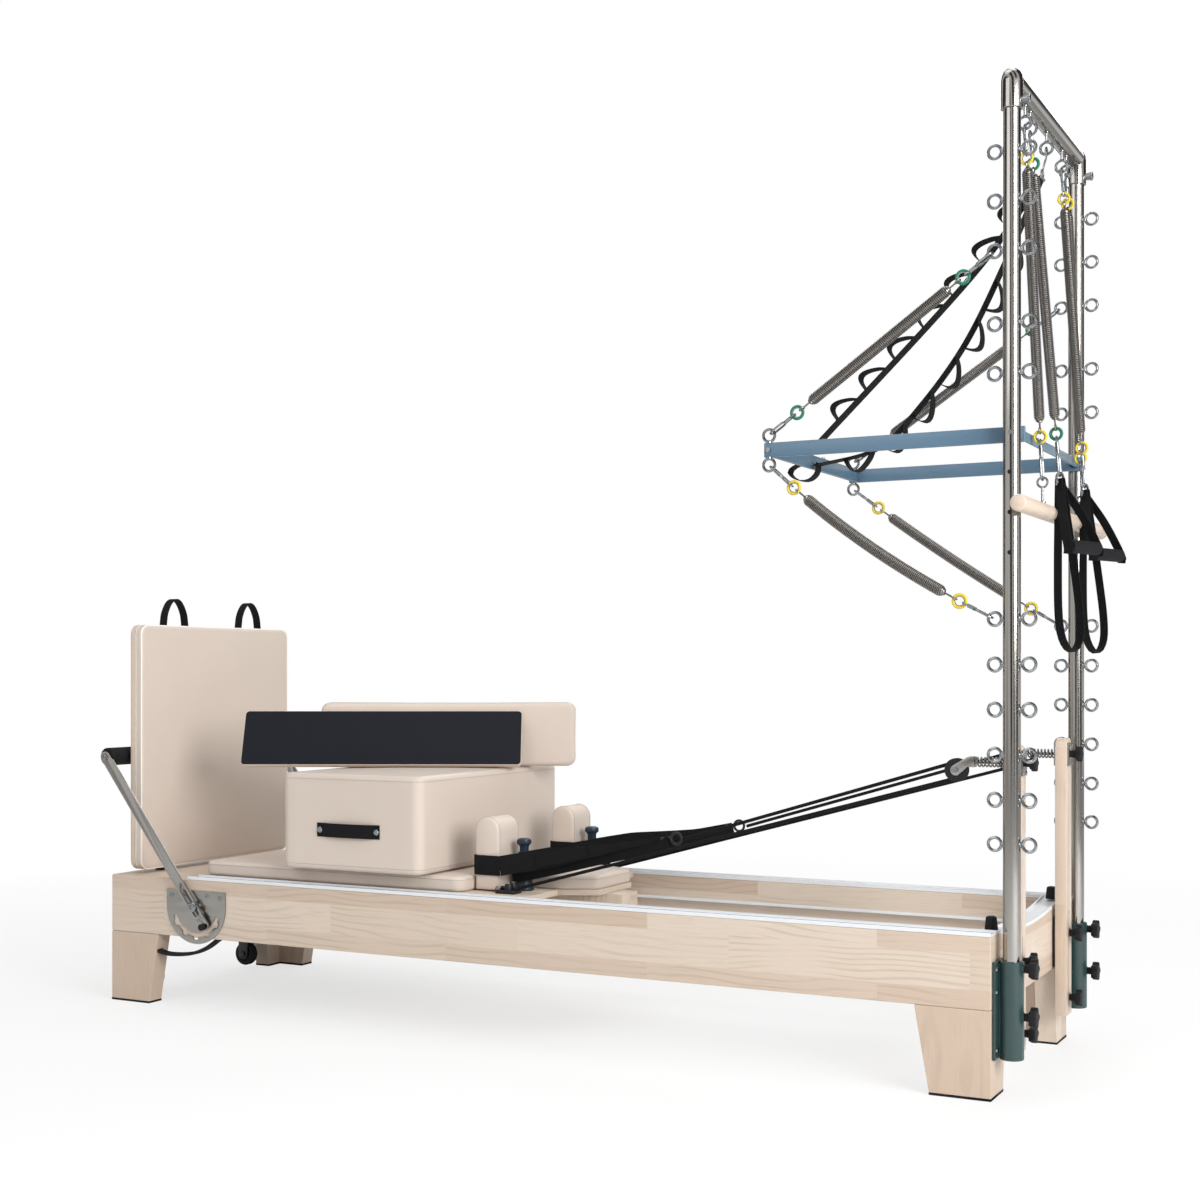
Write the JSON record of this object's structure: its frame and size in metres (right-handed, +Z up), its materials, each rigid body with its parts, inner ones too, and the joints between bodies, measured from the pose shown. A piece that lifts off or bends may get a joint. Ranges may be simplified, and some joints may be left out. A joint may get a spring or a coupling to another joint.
{
  "type": "pilates tower unit",
  "caption": "Pilates tower unit: a wooden bed with a sliding sprung carriage, footbar and jump board, and a steel tower at its head with springs, bars, straps and ropes.",
  "frame": {"origin": "middle of the footprint on the floor", "axes": "+X from the foot end to the tower end, +Y across the bed to the far side in the picture, +Z up"},
  "size_m": [2.6922, 0.86, 2.207],
  "materials": {
    "beech": "clear satin varnish",
    "leather": "soft-grained leatherette",
    "cap": "satin extrusion",
    "polished": "polished stainless tube",
    "steel": "bright zinc",
    "green": "satin powder coat",
    "blue": "satin powder coat",
    "black": "matt",
    "deck": "non-slip face on a wooden board",
    "sheave": "moulded",
    "webbing": "woven webbing and cord",
    "slate": "turned, satin"
  },
  "bodies": {
    "root": {"side_rail_near": "beech", "side_rail_far": "beech", "head_leg_near": "beech", "head_leg_far": "beech", "foot_leg_near": "beech", "foot_leg_far": "beech", "riser_near": "beech", "riser_far": "beech", "head_crosspiece": "beech", "foot_crosspiece": "beech", "foot_platform": "beech", "track_near": "cap", "track_far": "cap", "top_rail": "polished", "notched_plate_near": "polished", "notched_plate_far": "polished", "post_near": "polished", "post_far": "polished", "carriage_springs": "steel", "pulley_block_near": "steel", "pulley_block_far": "steel", "pulley_spring_near": "steel", "pulley_spring_far": "steel", "upper_spring_near": "steel", "upper_spring_far": "steel", "lower_spring_near": "steel", "lower_spring_far": "steel", "roll_spring_near": "steel", "roll_spring_far": "steel", "handle_spring_near": "steel", "handle_spring_far": "steel", "socket_near": "green", "socket_far": "green", "rope_near": "webbing", "rope_far": "webbing", "ladder_strap": "webbing"},
    "carriage": {"carriage_base": "beech", "carriage_pad": "leather", "shoulder_rest_near": "leather", "shoulder_rest_far": "leather", "spool_near": "slate", "spool_far": "slate", "strap_loop_near": "webbing", "strap_loop_far": "webbing"},
    "headrest": {"headrest": "leather"},
    "sitting_box": {"sitting_box": "leather"},
    "platform_board": {"platform_board": "deck"},
    "support_slab": {"support_slab": "leather"},
    "jump_board": {"jump_board": "leather"},
    "footbar_pivot": {"footbar_shaft": "steel"},
    "footbar": {"footbar_arms": "polished", "footbar_grip": "black"},
    "push_through": {"push_through_bar": "blue"},
    "roll_down": {"roll_down_bar": "beech"},
    "handle_near": {"pull_handle_near": "webbing"},
    "handle_far": {"pull_handle_far": "webbing"},
    "wheel_near": {"transport_wheel_near": "black"},
    "wheel_far": {"transport_wheel_far": "black"},
    "sheave_near": {"sheave_near": "sheave"},
    "sheave_far": {"sheave_far": "sheave"}
  },
  "joints": [
    {"name": "carriage_slide", "type": "slide", "parent": "root", "child": "carriage", "axis": [1, 0, 0], "range_m": [0, 0.98], "stiffness_N_per_m": 150, "springref_m": -0.1, "deforming": ["carriage_springs", "rope_near", "rope_far", "strap_loop_near", "strap_loop_far"]},
    {"name": "headrest_tilt", "type": "hinge", "parent": "carriage", "child": "headrest", "pos_m": [-0.19016, 0, 0.385], "axis": [0, -1, 0], "range_deg": [0, 30]},
    {"name": "box_lift", "type": "slide", "parent": "carriage", "child": "sitting_box", "axis": [0, 0, 1], "range_m": [0, 0.25]},
    {"name": "board_lift", "type": "slide", "parent": "sitting_box", "child": "platform_board", "axis": [0, 0, 1], "range_m": [0, 0.25]},
    {"name": "slab_lift", "type": "slide", "parent": "sitting_box", "child": "support_slab", "axis": [0, 0, 1], "range_m": [0, 0.25]},
    {"name": "jump_board_lift", "type": "slide", "parent": "root", "child": "jump_board", "axis": [0, 0, 1], "range_m": [0, 0.35]},
    {"name": "footbar_tilt", "type": "hinge", "parent": "root", "child": "footbar_pivot", "pos_m": [-1.00716, 0, 0.279], "axis": [0, -1, 0], "range_deg": [0, 28]},
    {"name": "footbar_draw", "type": "slide", "parent": "footbar_pivot", "child": "footbar", "axis": [-0.6184, 0, 0.7859], "range_m": [0, 0.015], "stiffness_N_per_m": 800, "springref_m": -0.03},
    {"name": "push_through_swing", "type": "hinge", "parent": "root", "child": "push_through", "pos_m": [1.19884, 0, 1.427], "axis": [0, 1, 0], "range_deg": [-50, 50], "stiffness_Nm_per_rad": 100, "springref_deg": 9.57, "deforming": ["upper_spring_near", "upper_spring_far", "lower_spring_near", "lower_spring_far", "ladder_strap"]},
    {"name": "roll_down_pull", "type": "slide", "parent": "root", "child": "roll_down", "axis": [0, 0, -1], "range_m": [0, 0.19], "stiffness_N_per_m": 120, "springref_m": -0.08, "deforming": ["roll_spring_near", "roll_spring_far"]},
    {"name": "handle_near_pull", "type": "slide", "parent": "root", "child": "handle_near", "axis": [0.5, 0, -0.866], "range_m": [0, 0.4], "stiffness_N_per_m": 80, "springref_m": -0.06, "deforming": ["handle_spring_near"]},
    {"name": "handle_far_pull", "type": "slide", "parent": "root", "child": "handle_far", "axis": [0.5, 0, -0.866], "range_m": [0, 0.4], "stiffness_N_per_m": 80, "springref_m": -0.06, "deforming": ["handle_spring_far"]},
    {"name": "wheel_near_spin", "type": "hinge", "parent": "root", "child": "wheel_near", "pos_m": [-1.30516, -0.208, 0.045], "axis": [0, 1, 0], "continuous": true},
    {"name": "wheel_far_spin", "type": "hinge", "parent": "root", "child": "wheel_far", "pos_m": [-1.30516, 0.208, 0.045], "axis": [0, 1, 0], "continuous": true},
    {"name": "sheave_near_spin", "type": "hinge", "parent": "root", "child": "sheave_near", "pos_m": [1.05384, -0.2323, 0.697], "axis": [0, 1, 0], "continuous": true},
    {"name": "sheave_far_spin", "type": "hinge", "parent": "root", "child": "sheave_far", "pos_m": [1.05384, 0.2323, 0.697], "axis": [0, 1, 0], "continuous": true}
  ]
}
